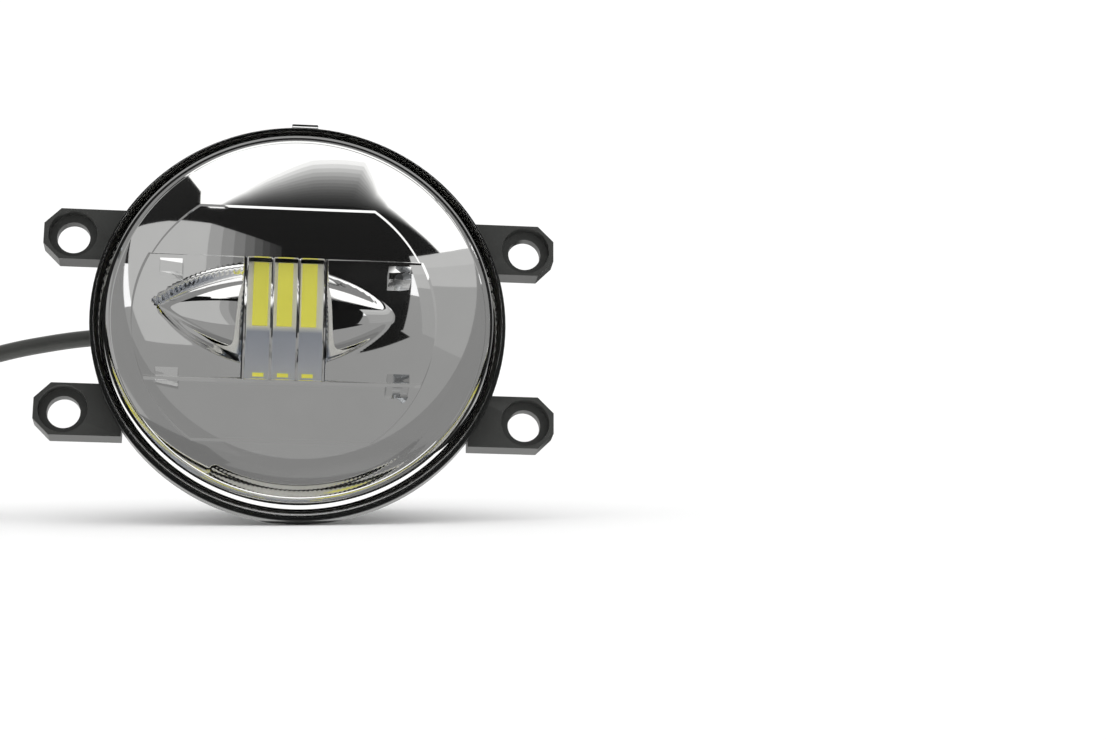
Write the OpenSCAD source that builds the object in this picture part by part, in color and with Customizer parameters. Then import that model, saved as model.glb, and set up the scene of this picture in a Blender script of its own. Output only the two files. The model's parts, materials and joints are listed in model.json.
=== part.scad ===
// Round LED fog lamp for the left side of a car, in a bracket with four bolt ears.
// It shines along -Y, +Z is up, and +X is on the right of a person who faces the lens.
// The origin is the middle of the four ear holes, on the ears' rear seating face.
// The lamp tilts in its bracket about the X axis, moved by a screw and nut at the top.
// The cable and its plug lie on a workshop floor that the lamp leans back on.

/* [Bracket] */
// Distance between the ear holes across the lamp
ear_span_x = 111; // [108:0.5:116]
// Distance between the ear holes up the lamp
ear_span_z = 44.5; // [40:0.5:48]
// Height of one ear
ear_h = 13; // [12.5:0.1:14]
// Thickness of one ear
ear_t = 6; // [5:0.1:6.5]
// From an ear hole to the ear's outer end
ear_end = 7; // [6.5:0.1:9]
// Diameter of the ear holes
ear_hole_d = 8; // [5:0.1:8.4]
// Outer radius of the bracket's ring
ring_r = 47; // [46.5:0.1:47.2]

/* [Front] */
// Radius of the clear lens's flange
lens_r = 49; // [48.8:0.1:49.2]
// Height of the lens's dome above its flange
dome_h = 12; // [9:0.5:14]
// Wall thickness of the lens
lens_t = 2; // [1.5:0.1:2.4]
// Outer radius of the housing's front rim
rim_r = 50; // [49.8:0.1:51]
// Radius of the reflector's mirrored bowl, as part of a sphere
bowl_r = 58; // [57:0.1:59]

/* [Optic] */
// Sideways place of the optic's centre
optic_x = -3.5; // [-4:0.1:0]
// Radius of the optic's clear disc
disc_r = 36.3; // [34:0.1:36.5]
// Half of the disc's height between its flats
disc_flat = 29.5; // [26:0.1:32]
// Height of the thick bar across the disc
bar_h = 31; // [30.5:0.1:32]
// Distance between neighbouring flutes
flute_pitch = 6.25; // [6:0.05:6.6]

/* [Cooling] */
// Radius over the cooling fins
fin_r = 31.8; // [28:0.1:31.8]
// Number of cooling fins
fin_count = 16; // [12:4:20]
// Thickness of a cooling fin
fin_t = 1.6; // [1.2:0.1:2.4]

/* [Aiming] */
// Height of the aiming screw above the tilt axis
aim_z = 46; // [45.8:0.1:46.4]
// Place of the aiming nut behind the ears
aim_y = 17; // [16.5:0.1:17.5]

/* [Cable] */
// Diameter of the cable
cable_d = 4.3; // [4:0.1:4.5]

/* [Hidden] */
$fn = 96;
fit = 0.05;             // running and screw clearance, on the radius
lens_y = -15;           // front of the lens's flange
rim_y = -12.5;          // front of the housing's rim
seat_y = -10.2;         // floor of the rim's step, under the lens's skirt
bowl_y = -48.64;        // centre of the bowl's sphere
bowl_t = 1.2;           // wall of the bowl
disc_y = -9.5;          // front of the optic's disc
bar_y = -14;            // crown of the optic's bar
crown_r = 85;           // crown of the bar's front, about a level axis
flute_r = 20;           // each flute's own roundness
board_y = 8.5;          // front of the LED board
dish_y = -0.46;         // axis of the reflector's trough behind the bar
dish_z = 5.5;
dish_b = 14;            // the trough's radius at its middle
dish_r = 42.5;          // and the radius of its length's arc
lead_z = -6;            // height of the LED board's leads
wall_y = 13;            // front of the housing's back wall
sink_y = 15.6;          // front of the heat sink's plate
rear_y = 50;            // rear end of the heat sink
core_r = 24;            // core of the heat sink
cave_r = 20.5;          // driver chamber in the core
dome_r = (pow(lens_r - 2.5, 2) + dome_h * dome_h) / (2 * dome_h);
leg_x = 27.6;           // the optic's four legs, from its centre
leg_z = 13.4;
sink_bolt = 23.8;       // the heat sink's four screws, from the axis
lug_r = 26.5;           // the cover's three screws, from the axis
gland_y = 38;
gland_z = 10.6;
floor_tilt = 17.15;     // how far the lamp leans back on the floor
floor_roll = -1.96;
floor_z = -47.26;       // height of the floor under the origin

// Points along the cable, from the chamber to the plug: out of the gland, down in
// an arc to the floor, and round in one loop on it
CABLE = [
    [-24, 38, 10.6], [-34, 38, 10.6], [-43, 38, 10.5], [-52.6, 38, 9.7], [-64, 38, 7.7],
    [-76, 38, 4.6], [-87, 38, 0.5], [-97, 37.5, -5], [-106, 36.5, -12], [-114, 34.5, -20],
    [-122, 31.5, -28], [-130, 27, -35.2], [-138, 20.5, -41.4], [-143.5, 12, -45],
    [-145.5, 2, -48.8], [-143, -8, -52], [-136, -16.5, -54.5], [-126, -21.5, -55.8],
    [-115, -22, -55.5], [-105, -17.5, -53.8], [-98.5, -9.5, -51.1], [-96, 0, -48.1],
    [-96, 9, -45.3], [-96, 17.5, -42.7]
];

// A straight cylinder along Y from y, l long
module rod_y(y, l, r, fn = $fn) translate([0, y, 0]) rotate([-90, 0, 0]) cylinder(h = l, r = r, $fn = fn);
// A straight cylinder along X from x, l long
module rod_x(x, l, r, fn = $fn) translate([x, 0, 0]) rotate([0, 90, 0]) cylinder(h = l, r = r, $fn = fn);
// A ring about the lamp's axis
module ring_y(y, l, ro, ri) difference() { rod_y(y, l, ro); rod_y(y - 1, l + 2, ri); }
// Turns an outline of [radius, y] about the lamp's axis
module spin() rotate([-90, 0, 0]) rotate_extrude() children();
// An outline of [x, z], from y to y + l
module plate_y(y, l) translate([0, y + l, 0]) rotate([90, 0, 0]) linear_extrude(l) children();
// A box from its lowest to its highest corner
module box(a, b) translate(a) cube(b - a);
// At the four corners of a rectangle in the XZ plane
module corners(x, z) for (i = [-1, 1], j = [-1, 1]) translate([i * x, 0, j * z]) children();
// At the three screws of the rear cover
module thirds() for (a = [90, 210, 330]) rotate([0, -a, 0]) translate([lug_r, 0, 0]) children();
// On the floor at x and y, with Z along the floor's normal
module on_floor(x, y)
    translate([x, y, floor_z + tan(floor_tilt) * y - tan(floor_roll) / cos(floor_tilt) * x])
        rotate([floor_tilt, floor_roll, 0]) children();
// Moves to the optic's centre line
module at_optic() translate([optic_x, 0, 0]) children();

module ear_outline(sx) {
    cut = 3.9;
    translate([sx * ear_span_x / 2, 0]) mirror([sx < 0 ? 1 : 0, 0]) polygon([
        [-14, -ear_h / 2], [ear_end - cut, -ear_h / 2], [ear_end, cut - ear_h / 2],
        [ear_end, ear_h / 2 - cut], [ear_end - cut, ear_h / 2], [-14, ear_h / 2]
    ]);
}

module bracket_frame() color("#3a3b3a") difference() {
    union() {
        ring_y(-3.5, 3.5, ring_r, 43.8);
        difference() {
            for (sx = [-1, 1], sz = [-1, 1])
                translate([0, 0, sz * ear_span_z / 2]) plate_y(-ear_t, ear_t) ear_outline(sx);
            rod_y(-ear_t - 1, ear_t + 2, 44.8);
        }
        for (s = [-1, 1]) box([s > 0 ? 43.9 : -47.4, -5, -5], [s > 0 ? 47.4 : -43.9, 5, 5]);
        difference() {
            translate([0, 0, aim_z]) rod_y(-3, 8, 4.5);
            rod_y(-4, 10, 42.9);
        }
    }
    corners(ear_span_x / 2, ear_span_z / 2) {
        rod_y(-ear_t - 1, ear_t + 2, ear_hole_d / 2);
        rod_y(-ear_t - 1, 4, 5.9);
    }
    for (s = [-1, 1]) rod_x(s > 0 ? 43 : -49, 6, 2 + fit);
    translate([0, 0, aim_z]) {
        rod_y(-5, 12, 2.5 + fit);
        rod_y(-5, 2.7, 4.6);
    }
}

module aim_screw() color("#b9bcc0") translate([0, 0, aim_z]) difference() {
    union() {
        rod_y(-3.9, 33.9, 2.5);
        rod_y(5.2, 1.2, 4.3);
        rod_y(30, 5, 4.6, 6);
        rod_y(29, 1, 5);
    }
    ring_y(-3.3, 0.8, 3, 1.9);
    box([-3, 33.6, -0.6], [3, 36, 0.6]);
}

module screw_clip() color("#8f9296") translate([0, 0, aim_z]) difference() {
    rod_y(-3.3, 0.8, 3.2);
    rod_y(-5, 4, 1.9);
    box([-1.5, -4, 0], [1.5, -2, 5]);
}

module aim_nut() color("#dcdcd6") translate([0, aim_y, aim_z]) difference() {
    rod_x(-4.5, 9, 4.5);
    rod_y(-6, 12, 2.5 + fit);
}

module pivot_screws() color("#9a9da0") for (s = [0, 1]) mirror([s, 0, 0]) difference() {
    union() {
        rod_x(40.2, 7.6, 2);
        rod_x(47.8, 1.6, 3.6);
    }
    rod_x(48.6, 2, 1.5, 6);
}

module outer_lens() color("#e8eef0", 0.35) {
    spin() intersection() {
        translate([0, lens_y - dome_h + dome_r]) difference() {
            circle(dome_r, $fn = 192);
            circle(dome_r - lens_t, $fn = 192);
        }
        translate([0, lens_y - dome_h - 1]) square([lens_r - 2.5, dome_h + 1.6]);
    }
    spin() {
        translate([44.6, lens_y]) square([lens_r - 44.6, 2]);
        translate([47.9, lens_y]) square([0.9, -10.8 - lens_y]);
    }
    box([-3.2, lens_y, lens_r - 1], [3.2, lens_y + 2, lens_r + 0.9]);
}

module lens_seal() color("#c9c9c4") ring_y(-10.8, 0.6, 48.8, 47.9);

module housing() color("#232423") difference() {
    union() {
        spin() polygon([
            [45.4, seat_y], [lens_r, seat_y], [lens_r, rim_y], [rim_r, rim_y], [rim_r, -9],
            [45.8, -9], [41.9, -5.2], [39.6, 8], [39.6, 19.5], [37.3, 19.5], [37.3, 15],
            [30, 15], [30, wall_y], [37.2, wall_y], [37.6, 8], [40.5, -5.2], [44.4, -9]
        ]);
        for (s = [-1, 1]) difference() {
            intersection() {
                rod_x(s > 0 ? 37.2 : -43.4, 6.2, 5);
                box([-44, -4.4, -6], [44, 6, 6]);
            }
            bowl(bowl_r + bowl_t + 0.3);
        }
        corners(sink_bolt, sink_bolt) rod_y(7, 6.5, 3.2);
        difference() {
            box([-7, aim_y - 6.8, 38.4], [7, aim_y + 6.8, 50]);
            box([-4.7, aim_y - 4.6, 40.4], [4.7, aim_y + 4.6, 51]);
            box([-2.9, aim_y - 8, 42.2], [2.9, aim_y + 8, 51]);
        }
    }
    for (s = [-1, 1]) rod_x(s > 0 ? 39.4 : -44, 4.6, 2 + fit);
    corners(sink_bolt, sink_bolt) rod_y(8, 8, 1.5 + fit);
}

module housing_gasket() color("#5a4a3a") difference() {
    ring_y(15, 0.6, 37, 30.2);
    corners(sink_bolt, sink_bolt) rod_y(14, 3, 1.7);
}

module housing_screws() color("#9a9da0") corners(sink_bolt, sink_bolt) difference() {
    union() {
        rod_y(8.5, 10.5, 1.5);
        rod_y(19, 2, 2.7);
    }
    rod_y(20, 2, 1.3, 6);
}

module bowl(r) translate([0, bowl_y, 0]) rotate([-90, 0, 0]) sphere(r, $fn = 192);

// The long trough in the bowl, pointed at both ends
module dish(grow) translate([optic_x, dish_y, dish_z]) rotate([0, 90, 0]) rotate_extrude($fn = 192)
    intersection() {
        translate([dish_b - dish_r, 0]) circle(dish_r + grow, $fn = 192);
        translate([0, -40]) square([40, 80]);
    }

module reflector() color("#d6d8da") difference() {
    union() {
        spin() intersection() {
            translate([0, bowl_y]) difference() {
                circle(bowl_r + bowl_t, $fn = 192);
                circle(bowl_r, $fn = 192);
            }
            translate([0, -12.8]) square([46.7, 30]);
        }
        spin() polygon([
            [45.6, -12.8], [46.4, -12.8], [47.6, -12], [47.6, -11.2], [46.7, -11.2],
            [46.7, seat_y], [45.6, seat_y]
        ]);
        at_optic() corners(leg_x, leg_z) box([-3.4, -6, -2.4], [3.4, 4.6, 2.4]);
        dish(bowl_t);
    }
    bowl(bowl_r);
    dish(0);
    at_optic() box([-10.3, -2, -8.9], [10.3, 20, 19.3]);
    at_optic() corners(leg_x, leg_z) {
        box([-2.7 - fit, -12, -1.7 - fit], [2.7 + fit, 2.6, 1.7 + fit]);
        rod_y(0, 8, 1.1);
        rod_y(4.6, 3, 2.4);
    }
}

module optic_outline() intersection() {
    circle(disc_r);
    square([2 * disc_r + 1, 2 * disc_flat], center = true);
}

module crown() translate([0, bar_y + crown_r, 0]) rotate([0, 90, 0]) rotate_extrude($fn = 192)
    difference() {
        union() {
            translate([0, -40]) square([crown_r, 80]);
            for (i = [-1:1]) intersection() {
                translate([crown_r + 0.4 - flute_r, i * flute_pitch]) circle(flute_r);
                translate([crown_r - 2, (i - 0.5) * flute_pitch]) square([3, flute_pitch]);
            }
        }
        for (i = [-1.5:1.5]) translate([crown_r - 0.6, i * flute_pitch - 0.25]) square([2, 0.5]);
    }

module projector_optic() color("#dfe8ea", 0.4) at_optic() {
    difference() {
        union() {
            plate_y(disc_y, 2.5) optic_outline();
            // the thick bar, with its crowned front and three upright flutes
            intersection() {
                plate_y(bar_y - 1, 8) intersection() {
                    circle(disc_r);
                    square([2 * disc_r, bar_h], center = true);
                }
                crown();
            }
            corners(leg_x, leg_z) box([-2.7, -7.5, -1.7], [2.7, 2.6, 1.7]);
        }
        corners(leg_x, leg_z) rod_y(-1, 6, 1 + fit);
        difference() {
            ring_y(-9.9, 0.7, 31.2, 30.6);
            box([-40, -11, -bar_h / 2], [40, -7, bar_h / 2]);
        }
    }
}

module optic_screws() color("#9a9da0") at_optic() corners(leg_x, leg_z) difference() {
    union() {
        rod_y(-0.5, 5.1, 1);
        rod_y(4.6, 1.4, 2.2);
    }
    rod_y(5.4, 2, 1, 6);
}

module led_board() color("#e4e6e2") at_optic() box([-10, board_y, -8.6], [10, board_y + 1.6, 19]);

module led_emitters() color("#d8d455") at_optic() for (i = [-1:1]) translate([i * flute_pitch, 0, 0]) {
    box([-0.9, board_y - 0.4, 4.4], [0.9, board_y, 18.8]);
    box([-0.7, board_y - 0.4, -7.6], [0.7, board_y, -6.3]);
}

module thermal_pad() color("#8fa0b4") at_optic() box([-9.4, board_y + 1.6, -4.6], [9.4, board_y + 1.8, 18]);

module led_leads() for (i = [0, 1]) color(i == 0 ? "#b02020" : "#202020")
    translate([optic_x - 1.8 + 3.6 * i, 0, lead_z]) rod_y(board_y + 1.6, 34.3, 0.7, 16);

module heat_sink() color("#8d9093") difference() {
    union() {
        rod_y(sink_y, 19 - sink_y, 37);
        rod_y(18, rear_y - 18, core_r);
        for (i = [0:fin_count - 1]) rotate([0, i * 360 / fin_count, 0])
            box([-fin_t / 2, 18, 22], [fin_t / 2, rear_y, fin_r]);
        thirds() rod_y(38, rear_y - 38, 3.2);
        at_optic() box([-9.4, board_y + 1.8, -8], [9.4, 17, 18.4]);
        translate([0, gland_y, gland_z]) rod_x(-31, 12, 7);
    }
    rod_y(32, 30, cave_r);
    ring_y(49.2, 2, 22.8, 21);
    thirds() rod_y(41, 10, 1.25 + fit);
    corners(sink_bolt, sink_bolt) rod_y(14, 6, 1.7);
    corners(sink_bolt, sink_bolt) rod_y(19, 8, 3.4);
    translate([0, gland_y, gland_z]) rod_x(-32, 18, 5 + fit);
    translate([optic_x, 0, lead_z]) box([-3, 7, -1.2], [3, 33, 1.2]);
}

module driver_board() color("#2f6b3c") difference() {
    rod_y(42, 1.6, 19.5);
    thirds() translate([-10, 0, 0]) rod_y(41, 4, 1.6);
    for (i = [-1, 1]) translate([optic_x + 1.8 * i, 0, lead_z]) rod_y(41, 4, 0.7 + fit, 16);
}

module driver_parts() {
    color("#30302e") translate([4, 0, 2]) box([-5, 43.6, -5], [5, 47.6, 5]);
    color("#c8c8c4") translate([-10, 0, -3]) rod_y(43.6, 4.6, 3.4);
    color("#222222") translate([7, 0, -9]) box([-3, 43.6, -2.4], [3, 45, 2.4]);
    color("#b89a5a") for (i = [0:2]) translate([-10 + 3.4 * i, 0, 3]) box([-1, 43.6, -0.6], [1, 44.6, 0.6]);
    color("#d8d8d0") translate([-10.6, 0, gland_z]) box([-3.4, 43.6, -2.6], [3.4, 46.4, 2.6]);
}

module cable_cores() for (i = [-1, 1]) color(i < 0 ? "#b02020" : "#202020")
    translate([0, gland_y, gland_z + i * 1.05]) rod_x(-24, 8, 0.8, 16);

module cover_gasket() color("#3a3a38") ring_y(49.2, 0.8, 22.8, 21);

module rear_cover() color("#2a2b2a") difference() {
    union() {
        rod_y(rear_y, 2, core_r);
        thirds() rod_y(rear_y, 2, 3.2);
    }
    thirds() rod_y(rear_y - 1, 4, 1.4);
    rod_y(rear_y - 1, 4, 2.5 + fit);
}

module cover_screws() color("#9a9da0") thirds() difference() {
    union() {
        rod_y(42, 10, 1.25);
        rod_y(52, 1.6, 2.4);
    }
    rod_y(52.8, 2, 1.1, 6);
}

module vent_cap() color("#3c3d3c") {
    rod_y(49, 4, 2.5);
    rod_y(52, 2.4, 5.4);
}

module gland_body() color("#2b2c2b") translate([0, gland_y, gland_z]) difference() {
    union() {
        rod_x(-31, 11, 5);
        rod_x(-34, 3, 7.4, 6);
        rod_x(-39, 5, 4.6);
    }
    rod_x(-40, 22, 3.4 + fit);
}

module gland_nut() color("#2b2c2b") translate([0, gland_y, gland_z]) difference() {
    union() {
        rod_x(-40, 6, 6.6);
        rod_x(-42, 2, 5.4);
    }
    rod_x(-39, 6, 4.6 + fit);
    rod_x(-43, 5, 3.2);
}

module gland_seal() color("#1f1f1f") translate([0, gland_y, gland_z]) difference() {
    rod_x(-38.9, 13, 3.4);
    rod_x(-40, 16, cable_d / 2 + 0.25);
}

// The middle of a Catmull-Rom stretch between the second and third of four points
function midway(a, b, c, d) = (9 * (b + c) - a - d) / 16;
function refine(p) = [for (i = [0:len(p) - 2]) each [
    p[i], midway(p[max(i - 1, 0)], p[i], p[i + 1], p[min(i + 2, len(p) - 1)])
], p[len(p) - 1]];
function heading(p, i) = let (d = p[min(i + 1, len(p) - 1)] - p[max(i - 1, 0)]) d / norm(d);
// One ring of the tube, square to the cable, with its first corner upwards
function hoop(c, t, r, n) = let (u = cross(t, [0, 0, 1]) / norm(cross(t, [0, 0, 1])), v = cross(u, t))
    [for (k = [0:n - 1]) c + r * (u * cos(360 * k / n) + v * sin(360 * k / n))];

module cable() color("#3a3b38") {
    sides = 10;
    path = refine(CABLE);
    rings = len(path);
    // the rings' corners stand out a little, so that the tube has the cable's volume
    r = cable_d / 2 * 1.02;
    polyhedron(
        points = [for (i = [0:rings - 1]) each hoop(path[i], heading(path, i), r, sides)],
        faces = concat(
            [[for (k = [0:sides - 1]) k]],
            [for (i = [0:rings - 2], k = [0:sides - 1]) let (m = (k + 1) % sides)
                [i * sides + k, (i + 1) * sides + k, (i + 1) * sides + m, i * sides + m]],
            [[for (k = [sides - 1:-1:0]) (rings - 1) * sides + k]]
        )
    );
}

plug_at = [-96, 18];    // where the cable meets the plug
plug_z = 6.4;           // middle of the plug above the floor

module plug_body() color("#262726") on_floor(plug_at[0], plug_at[1]) translate([0, 0, plug_z]) difference() {
    union() {
        box([-6.5, 1, -5.2], [6.5, 11, 5.2]);
        box([-5.5, 11, -4.2], [5.5, 25, 4.2]);
        for (i = [-1, 1]) translate([i * 5.9, 0, 0]) box([-0.8, 3, -6.4], [0.8, 20, -4]);
    }
    rod_y(0, 9, 3 + fit);
    for (i = [-1, 1]) box([i * 3 - 1.2, 8, -0.9], [i * 3 + 1.2, 26, 0.9]);
    ring_y(12, 2, 9, 5);
}

module plug_seal() color("#c2602a") on_floor(plug_at[0], plug_at[1]) translate([0, 0, plug_z]) difference() {
    rod_y(-1.5, 9, 3);
    rod_y(-2, 10, cable_d / 2 + 0.25);
}

module plug_contacts() color("#b98e4a") on_floor(plug_at[0], plug_at[1]) translate([0, 0, plug_z])
    for (i = [-1, 1]) difference() {
        box([i * 3 - 1.1, 9, -0.8], [i * 3 + 1.1, 24, 0.8]);
        box([i * 3 - 0.8, 18, -0.4], [i * 3 + 0.8, 25, 0.4]);
    }

module plug_lock() color("#262726") on_floor(plug_at[0], plug_at[1]) translate([0, 0, plug_z]) {
    box([-2.5, 3, 5.2], [2.5, 6, 6.2]);
    box([-2.5, 3, 6.2], [2.5, 20, 7.2]);
    box([-2.5, 18, 5.4], [2.5, 20, 6.2]);
}

bracket_frame();
aim_screw();
aim_nut();
screw_clip();
pivot_screws();
outer_lens();
lens_seal();
housing();
reflector();
projector_optic();
optic_screws();
led_board();
led_emitters();
thermal_pad();
led_leads();
heat_sink();
housing_gasket();
housing_screws();
driver_board();
driver_parts();
cable_cores();
cover_gasket();
rear_cover();
cover_screws();
vent_cap();
gland_body();
gland_nut();
gland_seal();
cable();
plug_body();
plug_seal();
plug_contacts();
plug_lock();
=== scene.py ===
# A round LED fog lamp in its four-ear bracket: the looks of every piece, laid out as an add-on.
# The lamp shines along -Y and +Z is up as fitted. Pieces are laid out in
# millimetres, and the stage and the add-on's sizes in metres.
import json
from math import cos, pi, radians, sin, sqrt

import bmesh
import bpy
from bpy.props import FloatProperty, FloatVectorProperty, IntProperty, PointerProperty
from bpy.types import Operator, Panel, PropertyGroup
from mathutils import Matrix, Vector


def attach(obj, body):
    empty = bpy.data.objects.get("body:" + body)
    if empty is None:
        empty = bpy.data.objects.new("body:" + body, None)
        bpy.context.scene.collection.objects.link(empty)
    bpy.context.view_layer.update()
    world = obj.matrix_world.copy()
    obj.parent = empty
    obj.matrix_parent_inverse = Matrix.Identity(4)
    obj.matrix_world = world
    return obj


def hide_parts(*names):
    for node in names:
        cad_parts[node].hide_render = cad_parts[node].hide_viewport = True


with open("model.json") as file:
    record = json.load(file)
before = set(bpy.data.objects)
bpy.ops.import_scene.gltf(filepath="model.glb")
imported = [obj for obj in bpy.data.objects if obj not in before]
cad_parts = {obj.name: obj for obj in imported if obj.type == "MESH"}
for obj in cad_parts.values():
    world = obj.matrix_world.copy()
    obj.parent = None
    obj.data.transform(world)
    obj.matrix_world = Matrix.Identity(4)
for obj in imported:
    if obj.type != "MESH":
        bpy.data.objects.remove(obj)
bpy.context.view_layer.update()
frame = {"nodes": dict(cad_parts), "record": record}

bl_info = {
    "name": "Round Fog Lamp",
    "version": (1, 0, 0),
    "blender": (4, 5, 0),
    "location": "View3D > Sidebar > Fog Lamp",
    "description": "Builds a round LED fog lamp with its bracket, optic, cable and studio",
    "category": "Object",
}

MM = 0.001
BODY = {node: body for body, nodes in frame["record"]["behaviour"]["bodies"].items() for node in nodes}
SLOT = {part["node"]: part["material_slot"] for part in frame["record"]["subparts"]}

# The cable's points, from the driver chamber through the gland, down to the floor and
# round in one loop to the plug, in millimetres
CABLE_ROUTE = [
    (-24, 38, 10.6), (-34, 38, 10.6), (-43, 38, 10.5), (-52.6, 38, 9.7), (-64, 38, 7.7),
    (-76, 38, 4.6), (-87, 38, 0.5), (-97, 37.5, -5), (-106, 36.5, -12), (-114, 34.5, -20),
    (-122, 31.5, -28), (-130, 27, -35.2), (-138, 20.5, -41.4), (-143.5, 12, -45),
    (-145.5, 2, -48.8), (-143, -8, -52), (-136, -16.5, -54.5), (-126, -21.5, -55.8),
    (-115, -22, -55.5), (-105, -17.5, -53.8), (-98.5, -9.5, -51.1), (-96, 0, -48.1),
    (-96, 9, -45.3), (-96, 17.5, -42.7),
]

# How the lamp stands on the floor: turned to the viewer, leaning back, rolled a little
TURN, LEAN, ROLL = radians(6.91), radians(17.15), radians(1.96)
FLANGE_Y = -0.015
FLOOR_BELOW_FLANGE = 0.0495
# Where the middle of the lens's flange is from the camera: across, down and away
FROM_CAMERA = (-0.0609, 0.0129, 0.601)
CAMERA_LENS = 81.4

# From here to the first function, lengths are in millimetres.
# The sphere of the bowl, and the trough in it: its axis, its radius at the middle, the
# radius of its length's arc, and how deep its edge is rounded
BOWL_Y = -48.64
TROUGH_Y, TROUGH_Z, TROUGH_DEPTH, TROUGH_ARC = -0.46, 5.5, 14, 42.5
EDGE_BLEND = 0.3
# Where the lens's skirt meets its seal
SEAL_Y = -10.8
# The bowl's front edge, the mirrored rim outside it as radius and y, and its opening for the board
BOWL_EDGE_Y = -12.8
RIM = ((46.2, BOWL_EDGE_Y), (46.7, -12.7), (47.1, -12.5), (47.4, -12.2), (47.6, -11.8), (47.6, -11.3))
WINDOW_HALF, WINDOW_LOW, WINDOW_HIGH = 10.3, -8.9, 19.3
# Fine ribs near the bowl's edge: between these radii and turns in degrees, this high
RIB_RADII, RIB_TURNS, RIB_HEIGHT = (40.2, 43.8), (-118, -16), 0.22
# The board's foot, and the foot of the emitters on it
BOARD_FOOT, EMITTER_FOOT = -8.6, 4.4
# The optic: its disc, the bar's crown, the flutes in it with the slits between, and its legs
DISC_Y, OPTIC_BACK_Y, LEG_END_Y = -9.5, -7, 2.6
BAR_Y, CROWN_RADIUS, BAR_ROUNDING = -14, 85, 0.5
FLUTE_RADIUS, FLUTE_RISE, SLIT_HALF, SLIT_DEPTH = 20, 0.4, 0.34, 0.75
LEG_X, LEG_Z, LEG_HALF_WIDTH, LEG_HALF_HEIGHT = 27.6, 13.4, 2.7, 1.7
# The aiming screw's height, and where its thread starts and ends
SCREW_Z, THREAD_START, THREAD_END, THREAD_PITCH = 46, 6.5, 28.4, 1.0


def linear(code):
    """An sRGB hex colour as linear red, green, blue and alpha."""
    parts = [int(code[i : i + 2], 16) / 255 for i in (1, 3, 5)]
    return [c / 12.92 if c <= 0.04045 else ((c + 0.055) / 1.055) ** 2.4 for c in parts] + [1.0]


class FogLampSizes(PropertyGroup):
    lens_radius: FloatProperty(
        name="Lens radius", description="Outer radius of the clear lens's flange",
        default=0.049, unit="LENGTH", precision=4,
    )
    dome_height: FloatProperty(
        name="Dome height", description="Height of the lens's dome above its flange",
        default=0.012, unit="LENGTH", precision=4,
    )
    lens_wall: FloatProperty(
        name="Lens wall", description="Thickness of the clear lens",
        default=0.002, unit="LENGTH", precision=4,
    )
    bowl_radius: FloatProperty(
        name="Bowl radius", description="Radius of the mirrored bowl's sphere",
        default=0.058, unit="LENGTH", precision=4,
    )
    optic_offset: FloatProperty(
        name="Optic offset", description="Sideways place of the optic's centre",
        default=-0.0035, unit="LENGTH", precision=4,
    )
    disc_radius: FloatProperty(
        name="Disc radius", description="Radius of the optic's clear disc",
        default=0.0363, unit="LENGTH", precision=4,
    )
    disc_half: FloatProperty(
        name="Disc half height", description="Half of the disc's height between its flats",
        default=0.0295, unit="LENGTH", precision=4,
    )
    bar_half: FloatProperty(
        name="Bar half height", description="Half of the height of the optic's bar",
        default=0.0155, unit="LENGTH", precision=4,
    )
    flute_pitch: FloatProperty(
        name="Flute pitch", description="Distance between neighbouring flutes",
        default=0.00625, unit="LENGTH", precision=5,
    )
    cable_diameter: FloatProperty(
        name="Cable diameter", description="Diameter of the cable's sheath",
        default=0.0043, unit="LENGTH", precision=4,
    )
    turn_steps: IntProperty(
        name="Turn steps", description="Faces round the bowl", default=480, min=48, max=720,
    )


def colour_property(name, description, code):
    return FloatVectorProperty(
        name=name, description=description, subtype="COLOR", size=4, min=0, max=1, default=linear(code),
    )


class FogLampColours(PropertyGroup):
    bracket: colour_property("Bracket", "Charcoal plastic of the bracket", "#3b3c3a")
    housing: colour_property("Housing", "Black plastic of the housing", "#191a19")
    mirror: colour_property("Mirror", "Metallised coat of the bowl", "#f6f6f6")
    phosphor: colour_property("Phosphor", "Yellow face of the emitters", "#e6e25c")
    sheath: colour_property("Sheath", "Rubber of the cable", "#454643")
    casting: colour_property("Casting", "Cast aluminium of the heat sink", "#a4a6a8")


# ---------------------------------------------------------------- materials


def add(tree, kind, settings=(), **links):
    """Adds a node; settings are its properties or input values, links feed its inputs."""
    node = tree.nodes.new(kind)
    for key, value in dict(settings).items():
        if isinstance(key, str) and hasattr(node, key):
            setattr(node, key, value)
        else:
            node.inputs[key].default_value = value
    for key, source in links.items():
        tree.links.new(source, node.inputs[key.replace("_", " ")])
    return node


def material(name, base, settings=()):
    """A new material with one Principled shader; returns the material, its tree and shader."""
    made = bpy.data.materials.new(name)
    made.use_nodes = True
    tree = made.node_tree
    shader = tree.nodes["Principled BSDF"]
    shader.inputs["Base Color"].default_value = linear(base) if isinstance(base, str) else base
    for key, value in dict(settings).items():
        shader.inputs[key].default_value = value
    return made, tree, shader


def relief(tree, shader, height, strength, depth_mm):
    """Gives a shader the relief of a noise node."""
    settings = {"Strength": strength, "Distance": depth_mm * MM}
    bump = add(tree, "ShaderNodeBump", settings, Height=height.outputs["Fac"])
    tree.links.new(bump.outputs["Normal"], shader.inputs["Normal"])


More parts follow.
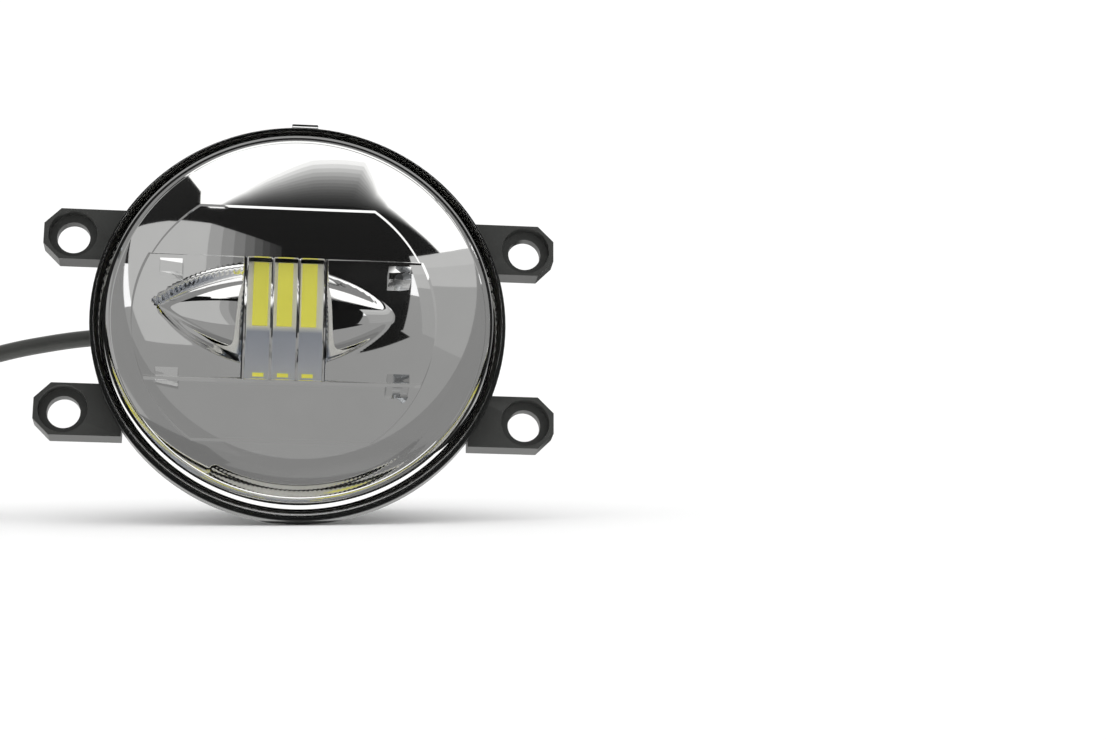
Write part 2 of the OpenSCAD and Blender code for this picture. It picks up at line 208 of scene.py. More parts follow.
def grained(name, base, grain_mm, roughness, spread=0.15, relief_mm=0.02, settings=()):
    """A surface whose colour, gloss and relief vary with a grain of a real size."""
    made, tree, shader = material(name, base, settings)
    place = add(tree, "ShaderNodeTexCoord").outputs["Object"]
    grain = add(
        tree, "ShaderNodeTexNoise", {"Scale": 1 / (grain_mm * MM), "Detail": 3.0, "Roughness": 0.6},
        Vector=place,
    )
    cloud = add(tree, "ShaderNodeTexNoise", {"Scale": 1 / (14 * MM), "Detail": 2.0}, Vector=place)
    blend = add(tree, "ShaderNodeMath", {"operation": "MULTIPLY_ADD", 1: 0.5})
    tree.links.new(grain.outputs["Fac"], blend.inputs[0])
    half = add(tree, "ShaderNodeMath", {"operation": "MULTIPLY", 1: 0.5})
    tree.links.new(cloud.outputs["Fac"], half.inputs[0])
    tree.links.new(half.outputs[0], blend.inputs[2])
    tone = list(shader.inputs["Base Color"].default_value)
    ramp = add(tree, "ShaderNodeValToRGB", Fac=blend.outputs[0])
    low, high = ramp.color_ramp.elements
    low.position, high.position = 0.3, 0.7
    low.color = [c * (1 - spread) for c in tone[:3]] + [1]
    high.color = [min(1, c * (1 + spread)) for c in tone[:3]] + [1]
    tree.links.new(ramp.outputs["Color"], shader.inputs["Base Color"])
    gloss = add(
        tree, "ShaderNodeMapRange", {"To Min": roughness * 0.85, "To Max": min(1, roughness * 1.15)},
        Value=blend.outputs[0],
    )
    tree.links.new(gloss.outputs["Result"], shader.inputs["Roughness"])
    relief(tree, shader, grain, 0.6, relief_mm)
    return made


def bracket_plastic(colours):
    # glass-filled nylon, spark-eroded mould: charcoal, dull, with a fine even grain
    return grained("glass_filled_nylon", colours.bracket, 0.5, 0.42, 0.12, 0.03)


def housing_plastic(colours):
    # moulded ABS: near black with a soft gloss along its edges
    return grained("moulded_abs", colours.housing, 0.9, 0.26, 0.1, 0.008)


def cover_plastic(colours):
    # moulded nylon of the cover, gland and plug: black and a little duller than the housing
    return grained("moulded_nylon", linear("#232423"), 0.4, 0.4, 0.12, 0.02)


def clear_plastic(name, ior, ripple_mm, strength):
    """A polished clear plastic with a faint flow ripple.

    Face on it mirrors a fifth of what bare plastic does, which keeps the bowl behind it dark.
    """
    made, tree, shader = material(
        name, "#ffffff",
        {"Roughness": 0.0, "IOR": ior, "Transmission Weight": 1.0, "Specular Tint": (0.2, 0.2, 0.2, 1)},
    )
    place = add(tree, "ShaderNodeTexCoord").outputs["Object"]
    flow = add(tree, "ShaderNodeTexNoise", {"Scale": 1 / (ripple_mm * MM), "Detail": 0.0}, Vector=place)
    relief(tree, shader, flow, strength, 0.02)
    return made


def clear_lens(colours):
    # polished polycarbonate: clear, with sharp glints and the faintest flow ripple
    return clear_plastic("clear_polycarbonate", 1.5, 18, 0.15)


def clear_optic(colours):
    # cast acrylic of the optic: clear, with a shorter ripple than the lens
    return clear_plastic("clear_acrylic", 1.49, 9, 0.12)


def mirror_coat(colours):
    # vacuum-metallised plastic: a bright mirror, very slightly hazy and uneven
    return grained("metallised_mirror", colours.mirror, 6, 0.035, 0.02, 0.004, {"Metallic": 1.0})


def zinc_screw(colours):
    # zinc-plated steel: bright grey metal with a fine cloudy plating
    return grained("zinc_plated_steel", linear("#b4b7ba"), 0.5, 0.3, 0.12, 0.01, {"Metallic": 1.0})


def cast_aluminium(colours):
    # die-cast aluminium: pale matt metal with an orange-peel skin
    return grained("die_cast_aluminium", colours.casting, 0.8, 0.46, 0.14, 0.05, {"Metallic": 1.0})


def brass(colours):
    # tin-flashed brass of the contacts
    return grained("plated_brass", linear("#c6a05a"), 0.4, 0.3, 0.12, 0.005, {"Metallic": 1.0})


def nut_plastic(colours):
    # natural acetal: milky white and waxy
    return grained("natural_acetal", linear("#dcdcd2"), 1.2, 0.35, 0.04, 0.01, {"Subsurface Weight": 0.1})


def sealant(colours):
    # a bead of pale silicone sealant
    return grained("silicone_sealant", linear("#c4c4be"), 1.5, 0.45, 0.06, 0.03)


def gasket(colours):
    # pressed EPDM rubber: black and dry
    return grained("epdm_rubber", linear("#1d1d1c"), 0.35, 0.7, 0.15, 0.02)


def plug_seal(colours):
    # orange silicone of the plug's seal
    return grained("silicone_rubber", linear("#c2602a"), 0.6, 0.5, 0.08, 0.01)


def thermal_pad(colours):
    # grey-blue silicone gap pad, speckled with its ceramic filler
    return grained("silicone_gap_pad", linear("#8fa0b4"), 0.3, 0.7, 0.2, 0.02)


def cable_rubber(colours):
    # extruded rubber sheath: dark grey with a soft broad sheen
    return grained("extruded_rubber", colours.sheath, 0.45, 0.42, 0.1, 0.02)


def phosphor(colours):
    # phosphor under clear silicone: a saturated yellow with a granular face, and a faint painted glow
    # although the emitters are unlit
    return grained(
        "phosphor_silicone_painted_glow", colours.phosphor, 0.25, 0.3, 0.08, 0.01,
        {"Emission Color": linear("#d8d24c"), "Emission Strength": 0.25},
    )


def two_tone(name, left, right, x_mm, roughness):
    """Two colours that meet at a place along X."""
    made, tree, shader = material(name, left, {"Roughness": roughness})
    place = add(tree, "ShaderNodeTexCoord").outputs["Object"]
    split = add(tree, "ShaderNodeSeparateXYZ", Vector=place)
    side = add(tree, "ShaderNodeMath", {"operation": "GREATER_THAN", 1: x_mm * MM})
    tree.links.new(split.outputs["X"], side.inputs[0])
    mix = add(tree, "ShaderNodeMix", {"data_type": "RGBA"})
    mix.inputs[6].default_value, mix.inputs[7].default_value = linear(left), linear(right)
    tree.links.new(side.outputs[0], mix.inputs[0])
    tree.links.new(mix.outputs[2], shader.inputs["Base Color"])
    grain = add(tree, "ShaderNodeTexNoise", {"Scale": 1 / (0.5 * MM)}, Vector=place)
    relief(tree, shader, grain, 0.4, 0.01)
    return made


def wire(colours):
    # PVC insulation: one red core and one black
    return two_tone("pvc_insulation", "#a82222", "#1e1e1e", -3.5, 0.4)


def board_white(colours):
    # white solder mask on aluminium; below the emitters painted shade in grey-blue, darkest just under them
    made, tree, shader = material("solder_mask_white", "#e9e9e4", {"Roughness": 0.3})
    place = add(tree, "ShaderNodeTexCoord").outputs["Object"]
    split = add(tree, "ShaderNodeSeparateXYZ", Vector=place)
    height = add(
        tree, "ShaderNodeMapRange", {"From Min": BOARD_FOOT * MM, "From Max": EMITTER_FOOT * MM},
        Value=split.outputs["Z"],
    )
    # painted shade: the mask greys and cools below the emitters, darkest just under their foot
    ramp = add(tree, "ShaderNodeValToRGB", Fac=height.outputs["Result"])
    low, high = ramp.color_ramp.elements
    low.color, high.color = linear("#c3c5c8"), linear("#a3a8b2")
    high.position = 0.9
    top = ramp.color_ramp.elements.new(1.0)
    top.color = linear("#ecebe4")
    tree.links.new(ramp.outputs["Color"], shader.inputs["Base Color"])
    weave = add(tree, "ShaderNodeTexNoise", {"Scale": 1 / (0.6 * MM)}, Vector=place)
    relief(tree, shader, weave, 0.3, 0.01)
    return made


def board_green(colours):
    # green solder mask over glass cloth, with paler copper tracks under it
    made, tree, shader = material("solder_mask_green", "#1f5a30", {"Roughness": 0.3})
    place = add(tree, "ShaderNodeTexCoord").outputs["Object"]
    tracks = add(
        tree, "ShaderNodeTexBrick",
        {"Scale": 1 / (5 * MM), "Mortar Size": 0.05, "Color1": linear("#1f5a30"), "Color2": linear("#236a38"),
         "Mortar": linear("#3c8a4c")},
    )
    turned = add(tree, "ShaderNodeMapping", {"Rotation": (pi / 2, 0, 0)}, Vector=place)
    tree.links.new(turned.outputs["Vector"], tracks.inputs["Vector"])
    tree.links.new(tracks.outputs["Color"], shader.inputs["Base Color"])
    return made


def components(colours):
    # moulded epoxy packages on the right, the tinned can and the connector on the left
    return two_tone("epoxy_packages", "#c3c3be", "#262625", -5.5, 0.4)


FINISH = {
    "bracket_plastic": bracket_plastic, "housing_plastic": housing_plastic, "clear_lens": clear_lens,
    "clear_optic": clear_optic, "mirror_coat": mirror_coat, "sealant": sealant, "zinc_screw": zinc_screw,
    "nut_plastic": nut_plastic, "board_white": board_white, "phosphor": phosphor,
    "thermal_pad": thermal_pad, "wire": wire, "cast_aluminium": cast_aluminium, "gasket": gasket,
    "board_green": board_green, "components": components, "cover_plastic": cover_plastic,
    "cable_rubber": cable_rubber, "plug_seal": plug_seal, "brass": brass,
}


MADE = {}


def finish_of(slot):
    """The material of a slot, made the first time it is asked for."""
    if slot not in MADE:
        MADE[slot] = FINISH[slot](bpy.context.scene.fog_colours)
    return MADE[slot]


# ---------------------------------------------------------------- mesh helpers


def shown(name, bm, made, sharp=radians(30)):
    """Puts a bmesh in the scene as an object, smooth but for its sharp edges."""
    data = bpy.data.meshes.new(name)
    bm.to_mesh(data)
    bm.free()
    data.materials.append(made)
    data.shade_smooth()
    data.set_sharp_from_angle(angle=sharp)
    obj = bpy.data.objects.new(name, data)
    bpy.context.scene.collection.objects.link(obj)
    return obj


def stands_for(obj, node):
    """The piece takes a CAD node's place and body, and the node is hidden."""
    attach(obj, BODY[node])
    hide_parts(node)
    return obj


def arc(centre, radius, start, end, count):
    """Points on an arc, from start to end in degrees."""
    turns = [radians(start + (end - start) * i / count) for i in range(count + 1)]
    return [(centre[0] + radius * cos(t), centre[1] + radius * sin(t)) for t in turns]


def spun(profile, steps):
    """A profile of (radius, y) points in millimetres turned about the lamp's axis."""
    bm = bmesh.new()
    verts = [bm.verts.new((r * MM, y * MM, 0)) for r, y in profile]
    edges = [bm.edges.new(pair) for pair in zip(verts, verts[1:])]
    bmesh.ops.spin(
        bm, geom=verts + edges, cent=(0, 0, 0), axis=(0, 1, 0), angle=2 * pi, steps=steps, use_merge=True
    )
    bmesh.ops.remove_doubles(bm, verts=bm.verts, dist=1e-7)
    bmesh.ops.recalc_face_normals(bm, faces=bm.faces)
    return bm


def block(bm, low, high):
    """Adds a box between two corners, in millimetres, and returns its corners."""
    size = Vector(high) - Vector(low)
    middle = (Vector(high) + Vector(low)) / 2
    place = Matrix.Translation(middle * MM) @ Matrix.Diagonal((*(size * MM), 1))
    return bmesh.ops.create_cube(bm, size=1, matrix=place)["verts"]


def rounded(obj, width_mm):
    """Rounds an object's sharp edges."""
    bevel = obj.modifiers.new("edges", "BEVEL")
    bevel.width = width_mm * MM
    bevel.segments = 2
    bevel.limit_method = "ANGLE"
    bevel.angle_limit = radians(40)
    bevel.use_clamp_overlap = True
    bevel.harden_normals = True
    return obj


def finer_copy(node, width_mm):
    """A copy of a CAD node with rounded edges, which stands for the node."""
    bm = bmesh.new()
    bm.from_mesh(frame["nodes"][node].data)
    bmesh.ops.remove_doubles(bm, verts=bm.verts, dist=1e-6)
    bmesh.ops.dissolve_limit(bm, angle_limit=radians(0.5), verts=bm.verts, edges=bm.edges)
    obj = shown(node + "_moulded", bm, finish_of(SLOT[node]), radians(35))
    return stands_for(rounded(obj, width_mm), node)


def joined(bm, *parts):
    """Joins closed bmeshes into one closed skin by a union of their volumes."""
    scene = bpy.context.scene
    main = shown("body", bm, finish_of("clear_optic"))
    helpers = [shown("helper", part, finish_of("clear_optic")) for part in parts]
    for helper in helpers:
        union = main.modifiers.new("union", "BOOLEAN")
        union.operation, union.solver, union.object = "UNION", "EXACT", helper
    graph = bpy.context.evaluated_depsgraph_get()
    whole = bmesh.new()
    whole.from_mesh(main.evaluated_get(graph).to_mesh())
    for obj in [main, *helpers]:
        scene.collection.objects.unlink(obj)
        data = obj.data
        bpy.data.objects.remove(obj)
        bpy.data.meshes.remove(data)
    return whole


# ---------------------------------------------------------------- the pieces


def build_lens(sizes):
    """The clear domed lens with its flange, skirt and top tab."""
    r, wall, height = sizes.lens_radius / MM, sizes.lens_wall / MM, sizes.dome_height / MM
    edge, y = r - 2.5, FLANGE_Y / MM
    radius = (edge * edge + height * height) / (2 * height)
    centre = y - height + radius
    inner_edge = r - 4.6

    def shell(sphere, end):
        return [(end * i / 40, centre - sqrt(sphere**2 - (end * i / 40) ** 2)) for i in range(41)]

    flange = [
        (edge + 0.25, y + 0.12), (edge + 0.6, y), *arc((r - 0.5, y + 0.5), 0.5, -90, 0, 4),
        (r, y + 1.7), (r - 0.2, y + 2), (r - 0.2, SEAL_Y - 0.2), (r - 0.3, SEAL_Y), (r - 1, SEAL_Y),
        (r - 1.1, SEAL_Y - 0.2),
        (r - 1.1, y + 2), (r - 3.8, y + 2), (inner_edge + 0.2, y + 1.7),
    ]
    bm = spun(shell(radius, edge) + flange + shell(radius - wall, inner_edge)[::-1], 240)
    # a small pull tab on the flange's top
    tab = block(bm, (-3.2, y + 0.1, r - 0.05), (3.2, y + 1.9, r + 0.88))
    bmesh.ops.bevel(
        bm, geom=list({e for v in tab for e in v.link_edges}), offset=0.25 * MM, segments=2, profile=0.5,
        affect="EDGES", material=-1,
    )
    bmesh.ops.recalc_face_normals(bm, faces=bm.faces)
    lens = stands_for(shown("front_lens", bm, finish_of("clear_lens"), radians(40)), "outer_lens")
    lens.visible_glossy = False  # the bowl mirrors the room and leaves the lens out


def bowl_depth(x, z, radius):
    """Y of the mirrored bowl with its trough, whose edge is softened, all in millimetres."""
    bowl = BOWL_Y + sqrt(max(0, radius**2 - x * x - z * z))
    along = x - bpy.context.scene.fog_sizes.optic_offset / MM
    reach = sqrt(max(0, TROUGH_ARC**2 - along**2)) - (TROUGH_ARC - TROUGH_DEPTH)
    span = reach**2 - (z - TROUGH_Z) ** 2
    if reach <= 0 or span <= 0:
        return bowl
    trough = TROUGH_Y + sqrt(span)
    soft = max(0, EDGE_BLEND - abs(bowl - trough)) / EDGE_BLEND
    return max(bowl, trough) + soft * soft * EDGE_BLEND / 4


def cut_window(bm, low, high):
    """Cuts a rectangle, given by corners in x and z in millimetres, out of a front-facing skin."""

    def inside(face, margin):
        c = face.calc_center_median() / MM
        return all(low[i] - margin < (c.x, c.z)[i] < high[i] + margin for i in (0, 1))

    for axis, places in ((0, (low[0], high[0])), (2, (low[1], high[1]))):
        for place in places:
            faces = [f for f in bm.faces if inside(f, 1.5)]
            edges, verts = {e for f in faces for e in f.edges}, {v for f in faces for v in f.verts}
            spot, normal = Vector((0, 0, 0)), Vector((0, 0, 0))
            spot[axis], normal[axis] = place * MM, 1
            geom = [*faces, *edges, *verts]
            bmesh.ops.bisect_plane(bm, geom=geom, dist=1e-7, plane_co=spot, plane_no=normal)
    bmesh.ops.delete(bm, geom=[f for f in bm.faces if inside(f, 0)], context="FACES")


def turn_of(x, z):
    """Degrees round the lamp's axis from +X towards +Z."""
    return Vector((x, z)).angle_signed(Vector((1, 0)), 0) * 180 / pi


def build_reflector(sizes):
    """The mirrored bowl: a sphere with a long trough, a ribbed edge, a rim and an opening."""
    radius, steps = sizes.bowl_radius / MM, sizes.turn_steps
    edge = sqrt(radius**2 - (BOWL_EDGE_Y - BOWL_Y) ** 2)
    bm = spun([(edge * i / 62, 0) for i in range(1, 63)], steps)
    for vert in bm.verts:
        x, z = vert.co.x / MM, vert.co.z / MM
        vert.co.y = bowl_depth(x, z, radius) * MM
        # fine ribs near the edge, from the right side round to the bottom
        turn = turn_of(x, z)
        if RIB_RADII[0] < sqrt(x * x + z * z) < RIB_RADII[1] and RIB_TURNS[0] < turn < RIB_TURNS[1]:
            vert.co.y -= RIB_HEIGHT * (round(turn / (360 / steps)) % 2) * MM
    offset = sizes.optic_offset / MM
    cut_window(bm, (offset - WINDOW_HALF, WINDOW_LOW), (offset + WINDOW_HALF, WINDOW_HIGH))
    rim = [e for e in bm.edges if e.is_boundary and min(v.co.xz.length for v in e.verts) > (edge - 0.2) * MM]
    for r, y in RIM:
        grown = bmesh.ops.extrude_edge_only(bm, edges=rim)["geom"]
        rim = [g for g in grown if isinstance(g, bmesh.types.BMEdge)]
        for vert in {v for e in rim for v in e.verts}:
            scale = r * MM / vert.co.xz.length
            vert.co = Vector((vert.co.x * scale, y * MM, vert.co.z * scale))
    bmesh.ops.recalc_face_normals(bm, faces=bm.faces)
    if max(bm.faces, key=lambda f: f.calc_area()).normal.y > 0:
        bmesh.ops.reverse_faces(bm, faces=bm.faces)
    obj = shown("mirror_bowl", bm, finish_of("mirror_coat"), radians(50))
    wall = obj.modifiers.new("wall", "SOLIDIFY")
    wall.thickness, wall.offset = 1.0 * MM, -1
    stands_for(obj, "reflector")


def optic_front(x, z, sizes):
    """Y of the optic's front: the crowned bar with rounded edges and its three flutes."""
    half, pitch = sizes.bar_half / MM, sizes.flute_pitch / MM
    crown = BAR_Y + z * z / (2 * CROWN_RADIUS)
    if abs(x) < 1.5 * pitch + 0.25:
        u = abs(x - pitch * max(-1, min(1, round(x / pitch))))
        flute = -FLUTE_RISE + FLUTE_RADIUS - sqrt(FLUTE_RADIUS**2 - u * u)
        slit = max(0, 1 - abs(u - pitch / 2) / SLIT_HALF)
        crown += flute + SLIT_DEPTH * slit
    edge = max(0, BAR_ROUNDING - (half - abs(z)))
    return crown + BAR_ROUNDING - sqrt(max(0, BAR_ROUNDING**2 - edge * edge))


def build_optic(sizes):
    """The clear optic: a flat disc with a thick fluted bar across it and four legs behind."""
    disc, flat, half = sizes.disc_radius / MM, sizes.disc_half / MM, sizes.bar_half / MM
    pitch, offset = sizes.flute_pitch / MM, sizes.optic_offset / MM
    inner = 1.5 * pitch + 0.4
    fine = [i * 0.12 for i in range(-int(inner / 0.12), int(inner / 0.12) + 1)]
    outer = [inner + (disc - inner) * i / 26 for i in range(27)]
    columns = [-x for x in reversed(outer)] + fine + outer
    near = [half - d for d in (0, 0.02, 0.08, 0.18, 0.32, 0.5)]
    rows = sorted({*[-n for n in near], *near, *[half * i / 16 for i in range(-15, 16)]})
    above = [half + 0.01 + (flat - half - 0.01) * i / 14 for i in range(15)]
    rows = [-z for z in reversed(above)] + rows + above
    bm = bmesh.new()
    bmesh.ops.create_grid(bm, x_segments=len(columns) - 1, y_segments=len(rows) - 1, size=1)
    for vert in bm.verts:
        x = columns[round((vert.co.x + 1) / 2 * (len(columns) - 1))]
        z = rows[round((vert.co.y + 1) / 2 * (len(rows) - 1))]
        reach = sqrt(disc**2 - z * z)
        if abs(x) > inner:
            x = (inner + (abs(x) - inner) * (reach - inner) / (disc - inner)) * (1 if x > 0 else -1)
        y = DISC_Y if abs(z) > half else optic_front(x, z, sizes)
        vert.co = Vector((x + offset, y, z)) * MM
    rim = [e for e in bm.edges if e.is_boundary]
    grown = bmesh.ops.extrude_edge_only(bm, edges=rim)["geom"]
    rim = [g for g in grown if isinstance(g, bmesh.types.BMEdge)]
    for vert in {v for e in rim for v in e.verts}:
        vert.co.y = OPTIC_BACK_Y * MM
    bmesh.ops.edgeloop_fill(bm, edges=rim)
    bmesh.ops.recalc_face_normals(bm, faces=bm.faces)
    legs = []
    for i in (-1, 1):
        for j in (-1, 1):
            leg = bmesh.new()
            x, z = offset + i * LEG_X, j * LEG_Z
            block(
                leg, (x - LEG_HALF_WIDTH, OPTIC_BACK_Y - 0.5, z - LEG_HALF_HEIGHT),
                (x + LEG_HALF_WIDTH, LEG_END_Y, z + LEG_HALF_HEIGHT),
            )
            legs.append(leg)
    whole = joined(bm, *legs)
    obj = shown("optic_glass", whole, finish_of("clear_optic"), radians(32))
    obj.visible_glossy = False  # the bowl mirrors the room and leaves the optic out
    stands_for(obj, "projector_optic")


def build_aim_screw():
    """The aiming screw: threaded shank, collar, clip groove, flange and hexagon head."""
    thread = []
    y = THREAD_START
    while y < THREAD_END:
        thread += [(2.5, y), (2.5, y + 0.15), (2.1, y + 0.5), (2.1, y + 0.65)]
        y += THREAD_PITCH
    profile = [
        (0, -3.9), (2.1, -3.9), (2.5, -3.5), (2.5, -3.3), (1.9, -3.3), (1.9, -2.5), (2.5, -2.5), (2.5, 5.2),
        (4.1, 5.2), (4.3, 5.4), (4.3, 6.2), (4.1, 6.4), (2.5, 6.4), *thread, (2.5, 29), (4.8, 29), (5, 29.2),
        (5, 29.8), (4.8, 30), (0, 30),
    ]
    bm = spun(profile, 48)
    head = bmesh.ops.create_cone(
        bm, cap_ends=True, segments=6, radius1=4.6 * MM, radius2=4.6 * MM, depth=5 * MM,
        matrix=Matrix.Translation((0, 32.5 * MM, 0)) @ Matrix.Rotation(-pi / 2, 4, "X"),
    )["verts"]
    bmesh.ops.bevel(
        bm, geom=list({e for v in head for e in v.link_edges}), offset=0.4 * MM, segments=2, profile=0.5,
        affect="EDGES", material=-1,
    )
    bmesh.ops.translate(bm, verts=bm.verts, vec=(0, 0, SCREW_Z * MM))
    bmesh.ops.recalc_face_normals(bm, faces=bm.faces)
    stands_for(shown("aiming_screw", bm, finish_of("zinc_screw")), "aim_screw")


def build_cable(sizes):
    """The rubber cable, from the gland to the plug."""
    curve = bpy.data.curves.new("cable_sheath", "CURVE")
    curve.dimensions = "3D"
    curve.bevel_depth = sizes.cable_diameter / 2
    curve.bevel_resolution = 6
    curve.resolution_u = 6
    curve.use_fill_caps = True
    spline = curve.splines.new("BEZIER")
    spline.bezier_points.add(len(CABLE_ROUTE) - 1)
    for point, place in zip(spline.bezier_points, CABLE_ROUTE):
        point.co = Vector(place) * MM
        point.handle_left_type = point.handle_right_type = "AUTO"
    obj = bpy.data.objects.new("cable_sheath", curve)
    bpy.context.scene.collection.objects.link(obj)
    curve.materials.append(finish_of("cable_rubber"))
    stands_for(obj, "cable")
    plug = [frame["nodes"][node] for node in ("plug_seal", "plug_contacts", "plug_lock")]
    plug.append(finer_copy("plug_body", 0.35))


def paint_rest():
    """Gives every CAD node that no piece replaces its own finish."""
    for name, obj in frame["nodes"].items():
        obj.data.materials.clear()
        obj.data.materials.append(finish_of(SLOT[name]))


# ---------------------------------------------------------------- the stage


def from_level():
    """From the level frame under the flange's middle to the lamp's own frame."""
    stand = Matrix.Rotation(TURN, 4, "Z") @ Matrix.Rotation(-LEAN, 4, "X") @ Matrix.Rotation(ROLL, 4, "Y")
    return Matrix.Translation((0, FLANGE_Y, 0)) @ stand.inverted()


def card(name, faces, grey, twice=None):
    """A flat or folded studio panel that only reflections and refractions show.

    A ray that the bowl has mirrored twice may see another grey, as the fill light of the room.
    """
    made, tree, shader = material(name, "#000000")
    path = add(tree, "ShaderNodeLightPath")
    tone = add(
        tree, "ShaderNodeMapRange",
        {"From Min": 1.0, "From Max": 2.0, "To Min": grey, "To Max": grey if twice is None else twice},
        Value=path.outputs["Glossy Depth"],
    )
    glow = add(tree, "ShaderNodeEmission", {"Color": (1, 1, 0.985, 1)}, Strength=tone.outputs["Result"])
    clear = add(tree, "ShaderNodeBsdfTransparent")
    mix = add(tree, "ShaderNodeMixShader")
    tree.links.new(path.outputs["Diffuse Depth"], mix.inputs[0])
    tree.links.new(glow.outputs[0], mix.inputs[1])
    tree.links.new(clear.outputs[0], mix.inputs[2])
    tree.links.new(mix.outputs[0], tree.nodes["Material Output"].inputs["Surface"])
    tree.nodes.remove(shader)
    bm = bmesh.new()
    for corners in faces:
        bm.faces.new([bm.verts.new(corner) for corner in corners])
    obj = shown(name, bm, made)
    obj.data.transform(from_level())
    obj.visible_camera = obj.visible_diffuse = obj.visible_shadow = False


def upright(feet):
    """Faces that stand on the floor, over feet of (x, y, height)."""
    floor = -FLOOR_BELOW_FLANGE
    return [
        [(a[0], a[1], floor), (b[0], b[1], floor), (b[0], b[1], b[2]), (a[0], a[1], a[2])]
        for a, b in zip(feet, feet[1:])
    ]


def level_face(x0, y0, x1, y1, height):
    """One level rectangle between two corners."""
    return [(x0, y0, height), (x1, y0, height), (x1, y1, height), (x0, y1, height)]


def build_camera():
    """The camera, at the same place by the lamp as the viewer."""
    data = bpy.data.cameras.new("camera")
    data.lens, data.sensor_width, data.clip_start = CAMERA_LENS, 36, 0.01
    camera = bpy.data.objects.new("camera", data)
    bpy.context.scene.collection.objects.link(camera)
    across, down, away = FROM_CAMERA
    camera.matrix_world = (
        from_level() @ Matrix.Translation((-across, -away, -down)) @ Matrix.Rotation(pi / 2, 4, "X")
    )
    bpy.context.scene.camera = camera


def build_floor():
    """The pale floor that the lamp leans back on."""
    bm = bmesh.new()
    bmesh.ops.create_grid(bm, x_segments=1, y_segments=1, size=6)
    white = material("floor_white", "#fdfdfd", {"Roughness": 0.7, "Specular IOR Level": 0.1})[0]
    floor = shown("floor", bm, white)
    floor.data.transform(from_level() @ Matrix.Translation((0, 0, -FLOOR_BELOW_FLANGE)))


# What the bowl mirrors: the table's white ends between these lines in front of the lamp
# and at this line on its right, as x and y in metres
FADE_START = [
    (0.082, -0.072), (0.05, -0.066), (0.02, -0.055), (0, -0.046), (-0.03, -0.042), (-0.05, -0.07),
    (-0.07, -0.086), (-0.132, -0.114), (-3, -1.19),
]
FADE_END = [
    (0.082, -0.08), (0.05, -0.09), (0.02, -0.096), (0, -0.097), (-0.03, -0.095), (-0.05, -0.096),
    (-0.07, -0.099), (-0.132, -0.12), (-3, -1.2),
]
RIGHT_END = [(0.066, 0.4), (0.07, 0), (0.074, -0.02), (0.08, -0.042), (0.096, -0.056), (0.094, -0.07)]
FADE_STEPS, SHADE_STEPS = 14, 8
# The dark room's grey on the ground and above it, and what twice-mirrored rays see of it
DARK, DARK_ABOVE, FILL = 0.006, 0.008, 0.26


def build_panels():
    """The table, the dark room and the pale panels, which only the mirror and the clear pieces show."""
    low = -FLOOR_BELOW_FLANGE + 0.001
    card("pale_ground", [level_face(-3, -1.5, 3, 0.4, low)], 1.2)
    for i in range(FADE_STEPS):
        height = low + 0.0001 * (i + 1)
        edge = [
            (a[0], a[1] + (b[1] - a[1]) * i / FADE_STEPS, height) for a, b in zip(FADE_START, FADE_END)
        ]
        front = [(x, y - 0.001, height) for x, y in reversed(FADE_END)]
        card("fading_ground_%d" % i, [edge + front], 0.75**i)
    top = low + 0.002
    dark = [(x, y, top) for x, y in RIGHT_END + FADE_END]
    card("dark_ground", [dark + [(-3, -3, top), (3, -3, top), (3, 0.4, top)]], DARK, FILL)
    card("dark_front", upright([(-0.95, -0.9, 0.66), (0.36, -0.9, 0.66)]), DARK_ABOVE, FILL)
    # the pale panel on the right, whose near end is in shade
    for i in range(SHADE_STEPS):
        a, b = i / SHADE_STEPS, (i + 1) / SHADE_STEPS
        ends = [(0.075 + 0.049 * t, -0.27 + 0.169 * t, 0.15 - 0.03 * t) for t in (a, b)]
        card("shaded_right_%d" % i, upright(ends), 0.03 + 0.43 * a * a, 0.28)
    feet = [(0.124, -0.101, 0.12), (0.165, -0.046, 0.12), (0.25, 0.02, 0.145)]
    card("grey_right", upright(feet), 0.5, 0.4)
    # the pale panel on the left, brightest at its foot, with a slanting near edge
    for i, (foot, head, grey) in enumerate(((-0.02, 0.005, 0.55), (0.005, 0.04, 0.5), (0.04, 0.166, 0.36))):
        near = []
        for height in (foot, head):
            up = (height + 0.042) / 0.208
            near.append((-0.208 - 0.046 * up, -0.216 + 0.057 * up, height))
        card("grey_left_%d" % i, [near + [(-0.282, 0.103, head), (-0.282, 0.103, foot)]], grey, 0.4)
    card("dark_ceiling", [level_face(-0.95, -3, 0.36, -0.75, 0.69)], DARK_ABOVE, FILL)
    card("ceiling", [level_face(-3, -3, 3, 0.4, 0.7)], 0.31, 0.2)


def build_stage():
    """The pale floor, the studio's panels, the light and the camera."""
    build_camera()
    build_floor()
    build_panels()
    scene = bpy.context.scene
    scene.world = bpy.data.worlds.new("studio")
    scene.world.use_nodes = True
    light = scene.world.node_tree.nodes["Background"].inputs
    light["Color"].default_value = (1, 1, 1, 1)
    light["Strength"].default_value = 1.06
    scene.view_settings.view_transform = "Standard"


# ---------------------------------------------------------------- the add-on


class FOGLAMP_OT_stage(Operator):
    """Set up the floor, the studio's panels and the camera"""

    bl_idname = "foglamp.stage"
    bl_label = "Stage"

    def execute(self, context):
        build_stage()
        return {"FINISHED"}


class FOGLAMP_OT_cable(Operator):
    """Lay the cable and its plug"""

    bl_idname = "foglamp.cable"
    bl_label = "Cable"

    def execute(self, context):
        build_cable(context.scene.fog_sizes)
        return {"FINISHED"}


class FOGLAMP_OT_lens(Operator):
    """Make the clear front lens"""

    bl_idname = "foglamp.lens"
    bl_label = "Front lens"

    def execute(self, context):
        build_lens(context.scene.fog_sizes)
        return {"FINISHED"}


class FOGLAMP_OT_reflector(Operator):
    """Make the mirrored bowl"""

    bl_idname = "foglamp.reflector"
    bl_label = "Reflector"

    def execute(self, context):
        build_reflector(context.scene.fog_sizes)
        return {"FINISHED"}


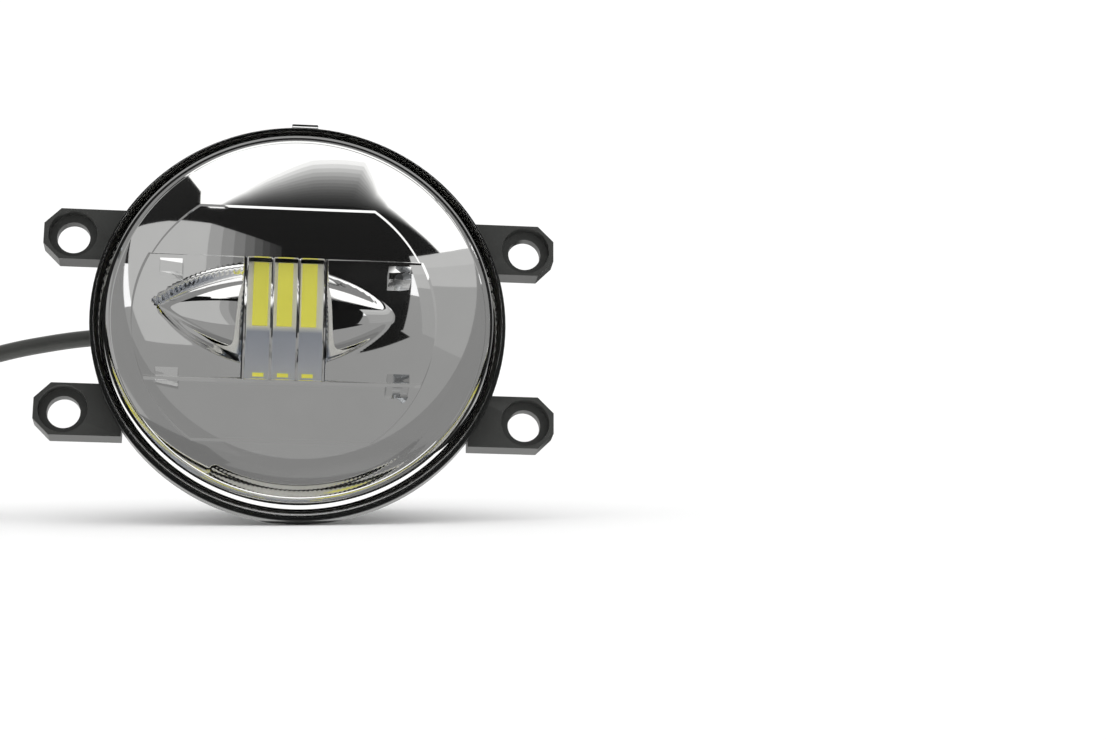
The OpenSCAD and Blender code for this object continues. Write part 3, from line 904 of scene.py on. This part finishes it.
class FOGLAMP_OT_optic(Operator):
    """Make the clear projector optic"""

    bl_idname = "foglamp.optic"
    bl_label = "Projector optic"

    def execute(self, context):
        build_optic(context.scene.fog_sizes)
        return {"FINISHED"}


class FOGLAMP_OT_shells(Operator):
    """Round the edges of the bracket, the housing, the heat sink and the other mouldings"""

    bl_idname = "foglamp.shells"
    bl_label = "Mouldings"

    def execute(self, context):
        widths = {
            "bracket_frame": 0.35, "housing": 0.25, "heat_sink": 0.3, "rear_cover": 0.3, "vent_cap": 0.4,
            "gland_body": 0.25, "gland_nut": 0.3, "aim_nut": 0.3, "pivot_screws": 0.2, "housing_screws": 0.2,
            "cover_screws": 0.2,
        }
        for node, width in widths.items():
            finer_copy(node, width)
        return {"FINISHED"}


class FOGLAMP_OT_aim_screw(Operator):
    """Make the threaded aiming screw"""

    bl_idname = "foglamp.aim_screw"
    bl_label = "Aiming screw"

    def execute(self, context):
        build_aim_screw()
        return {"FINISHED"}


class FOGLAMP_OT_paint(Operator):
    """Give every remaining piece its finish"""

    bl_idname = "foglamp.paint"
    bl_label = "Finishes"

    def execute(self, context):
        paint_rest()
        return {"FINISHED"}


STEPS = ("stage", "cable", "lens", "reflector", "optic", "shells", "aim_screw", "paint")


class FOGLAMP_PT_panel(Panel):
    """The fog lamp's sizes, colours and steps"""

    bl_label = "Fog Lamp"
    bl_idname = "FOGLAMP_PT_panel"
    bl_space_type = "VIEW_3D"
    bl_region_type = "UI"
    bl_category = "Fog Lamp"

    def draw(self, context):
        for group in (context.scene.fog_sizes, context.scene.fog_colours):
            box = self.layout.box()
            for name in group.bl_rna.properties.keys():
                if name not in ("rna_type", "name"):
                    box.prop(group, name)
        for step in STEPS:
            self.layout.operator("foglamp." + step)


CLASSES = (
    FogLampSizes, FogLampColours, FOGLAMP_OT_stage, FOGLAMP_OT_cable, FOGLAMP_OT_lens, FOGLAMP_OT_reflector,
    FOGLAMP_OT_optic, FOGLAMP_OT_shells, FOGLAMP_OT_aim_screw, FOGLAMP_OT_paint, FOGLAMP_PT_panel,
)


def register():
    for cls in CLASSES:
        bpy.utils.register_class(cls)
    bpy.types.Scene.fog_sizes = PointerProperty(type=FogLampSizes)
    bpy.types.Scene.fog_colours = PointerProperty(type=FogLampColours)


def unregister():
    del bpy.types.Scene.fog_colours
    del bpy.types.Scene.fog_sizes
    for cls in reversed(CLASSES):
        bpy.utils.unregister_class(cls)


def main():
    register()
    for step in STEPS:
        getattr(bpy.ops.foglamp, step)()
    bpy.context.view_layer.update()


if __name__ == "__main__":
    main()
